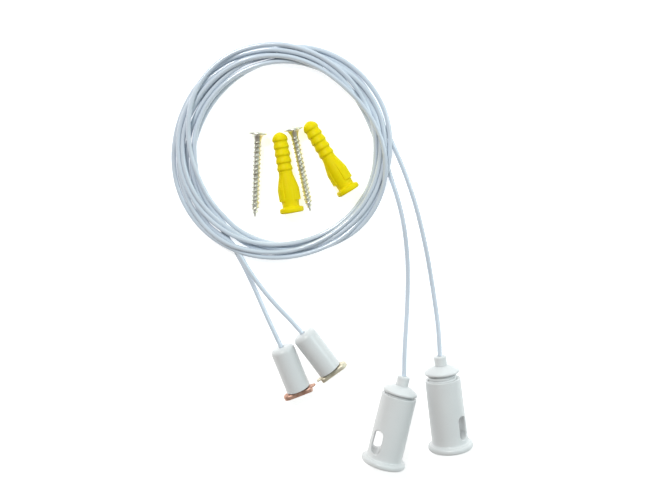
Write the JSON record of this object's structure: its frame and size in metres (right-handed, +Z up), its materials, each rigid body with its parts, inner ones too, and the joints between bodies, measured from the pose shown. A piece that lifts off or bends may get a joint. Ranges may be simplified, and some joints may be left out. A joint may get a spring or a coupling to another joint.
{
  "type": "window restrictor cable",
  "caption": "Thin coated cables with screw-down tensioners and swivelling rail anchors, lying coiled with their wood screws and ribbed wall plugs.",
  "frame": {"origin": "middle of the base of the box around all pieces except the cables, on the surface that the set lies on", "axes": "+Z up out of that surface, +Y from the tensioners towards the coil, +X from the anchors towards the tensioners"},
  "size_m": [0.142, 0.199, 0.0214],
  "materials": {
    "body_plastic": "satin white moulded plastic",
    "cable_sheath": "smooth white coat over steel cable",
    "inner_steel": "plain turned steel",
    "plate_nickel": "bright nickel plate",
    "screw_zinc": "bright zinc plate with a faint yellow cast",
    "plug_nylon": "semi-matt yellow nylon"
  },
  "bodies": {
    "root": {"cable_coil": "cable_sheath", "cable_terminal_a": "body_plastic", "thrust_washer_a": "inner_steel", "retaining_collar_a": "inner_steel", "anchor_cup_a": "body_plastic", "cable_ferrule_a": "inner_steel", "anchor_stud_a": "inner_steel", "cable_tail_lower_a": "cable_sheath", "cable_tail_upper_a": "cable_sheath", "cable_terminal_b": "body_plastic", "thrust_washer_b": "inner_steel", "retaining_collar_b": "inner_steel", "anchor_cup_b": "body_plastic", "cable_ferrule_b": "inner_steel", "anchor_stud_b": "inner_steel", "cable_tail_lower_b": "cable_sheath", "cable_tail_upper_b": "cable_sheath"},
    "cap_a": {"tension_cap_a": "body_plastic"},
    "housing_a": {"tensioner_housing_a": "body_plastic"},
    "plate_a": {"anchor_plate_a": "plate_nickel"},
    "cap_b": {"tension_cap_b": "body_plastic"},
    "housing_b": {"tensioner_housing_b": "body_plastic"},
    "plate_b": {"anchor_plate_b": "plate_nickel"},
    "screw_1": {"screw_1": "screw_zinc"},
    "wall_plug_1": {"wall_plug_1": "plug_nylon"},
    "screw_2": {"screw_2": "screw_zinc"},
    "wall_plug_2": {"wall_plug_2": "plug_nylon"}
  },
  "joints": [
    {"name": "tension_screw_a", "type": "hinge", "parent": "root", "child": "cap_a", "pos_m": [0.01689, -0.04733, 0.00844], "axis": [0.2329, 0.9701, -0.0685], "range_deg": [-49, 1354]},
    {"name": "housing_travel_a", "type": "slide", "parent": "root", "child": "housing_a", "axis": [-0.2329, -0.9701, 0.0685], "range_m": [-0.00025, 0.0075]},
    {"name": "anchor_swivel_a", "type": "hinge", "parent": "root", "child": "plate_a", "pos_m": [-0.031, -0.0444, 0.00575], "axis": [-0.3584, 0.9336, 0], "range_deg": [-90, 90]},
    {"name": "tension_screw_b", "type": "hinge", "parent": "root", "child": "cap_b", "pos_m": [0.03704, -0.03787, 0.00844], "axis": [-0.1268, 0.9898, -0.0653], "range_deg": [-354, 1044]},
    {"name": "housing_travel_b", "type": "slide", "parent": "root", "child": "housing_b", "axis": [0.1268, -0.9898, 0.0653], "range_m": [-0.00194, 0.00578]},
    {"name": "anchor_swivel_b", "type": "hinge", "parent": "root", "child": "plate_b", "pos_m": [-0.016, -0.0352, 0.00575], "axis": [-0.5878, 0.809, 0], "range_deg": [-90, 90]},
    {"name": "screw_1_lift", "type": "slide", "parent": "root", "child": "screw_1", "axis": [0, 0, 1], "range_m": [0, 0.05]},
    {"name": "wall_plug_1_lift", "type": "slide", "parent": "root", "child": "wall_plug_1", "axis": [0, 0, 1], "range_m": [0, 0.05]},
    {"name": "screw_2_lift", "type": "slide", "parent": "root", "child": "screw_2", "axis": [0, 0, 1], "range_m": [0, 0.05]},
    {"name": "wall_plug_2_lift", "type": "slide", "parent": "root", "child": "wall_plug_2", "axis": [0, 0, 1], "range_m": [0, 0.05]}
  ],
  "couplings": [
    {"joint": "tension_screw_a", "follows": "housing_travel_a", "rad_per_m": 3141.6},
    {"joint": "tension_screw_b", "follows": "housing_travel_b", "rad_per_m": 3141.6}
  ]
}
